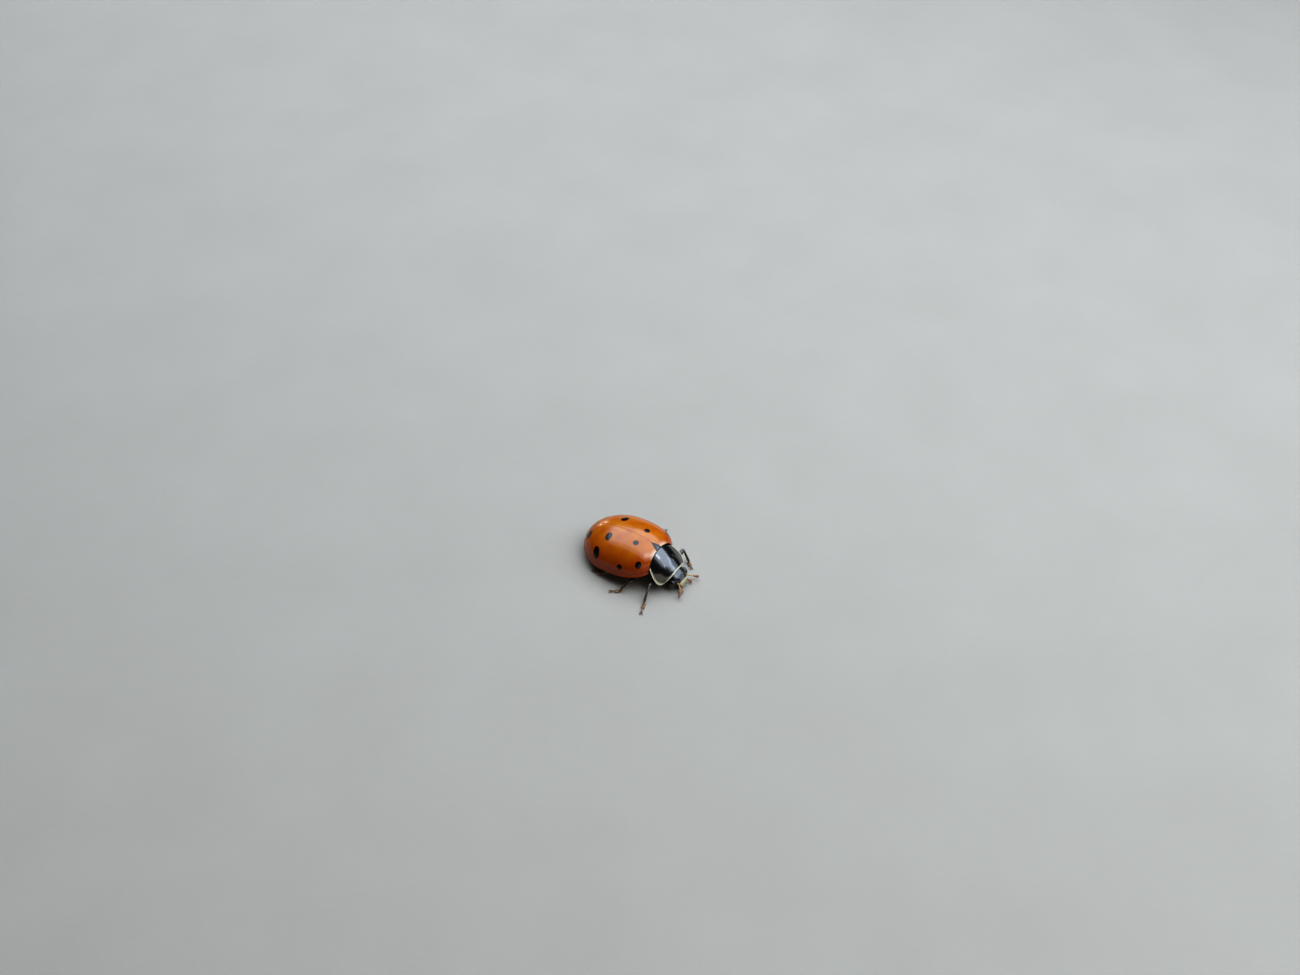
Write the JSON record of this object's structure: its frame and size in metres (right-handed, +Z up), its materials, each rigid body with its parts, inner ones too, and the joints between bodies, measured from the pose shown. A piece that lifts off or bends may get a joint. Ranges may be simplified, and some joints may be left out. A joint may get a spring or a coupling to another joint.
{
  "type": "ladybird",
  "caption": "Life-size ladybird in mid stride: glossy spotted domed wing cases, a dark neck shield with a pale rim, a small head with short feelers, and jointed legs.",
  "frame": {"origin": "middle of the footprint's bounding box, on the floor", "axes": "+Z up from the floor, -Y towards the head, +X towards the animal's left side"},
  "size_m": [0.0058, 0.0064, 0.0021],
  "materials": {
    "wing_case": "glossy, hard shell, orange-red with dark spots",
    "neck_shield": "glossy black with a cream rim",
    "black_shell": "semi-gloss black",
    "face": "semi-gloss cream",
    "belly": "satin, finely hairy, black-brown",
    "eye": "glossy black, faceted",
    "horn": "satin, cream to orange-brown",
    "leg": "semi-gloss black, finely hairy",
    "foot": "satin, dark brown, hairy below"
  },
  "bodies": {
    "root": {"head": "black_shell", "labrum": "face", "pronotum": "neck_shield", "prosternum": "belly", "scutellum": "black_shell", "thorax": "belly", "abdomen": "belly", "elytron_left": "wing_case", "elytron_right": "wing_case", "eye_left": "eye", "antenna_left": "horn", "palp_left": "horn", "mandible_left": "horn", "eye_right": "eye", "antenna_right": "horn", "palp_right": "horn", "mandible_right": "horn", "femur_front_left": "leg", "tibia_front_left": "leg", "tarsus_front_left": "foot", "femur_front_right": "leg", "tibia_front_right": "leg", "tarsus_front_right": "foot", "femur_middle_left": "leg", "tibia_middle_left": "leg", "tarsus_middle_left": "foot", "femur_middle_right": "leg", "tibia_middle_right": "leg", "tarsus_middle_right": "foot", "femur_rear_left": "leg", "tibia_rear_left": "leg", "tarsus_rear_left": "foot", "femur_rear_right": "leg", "tibia_rear_right": "leg", "tarsus_rear_right": "foot"}
  },
  "joints": []
}
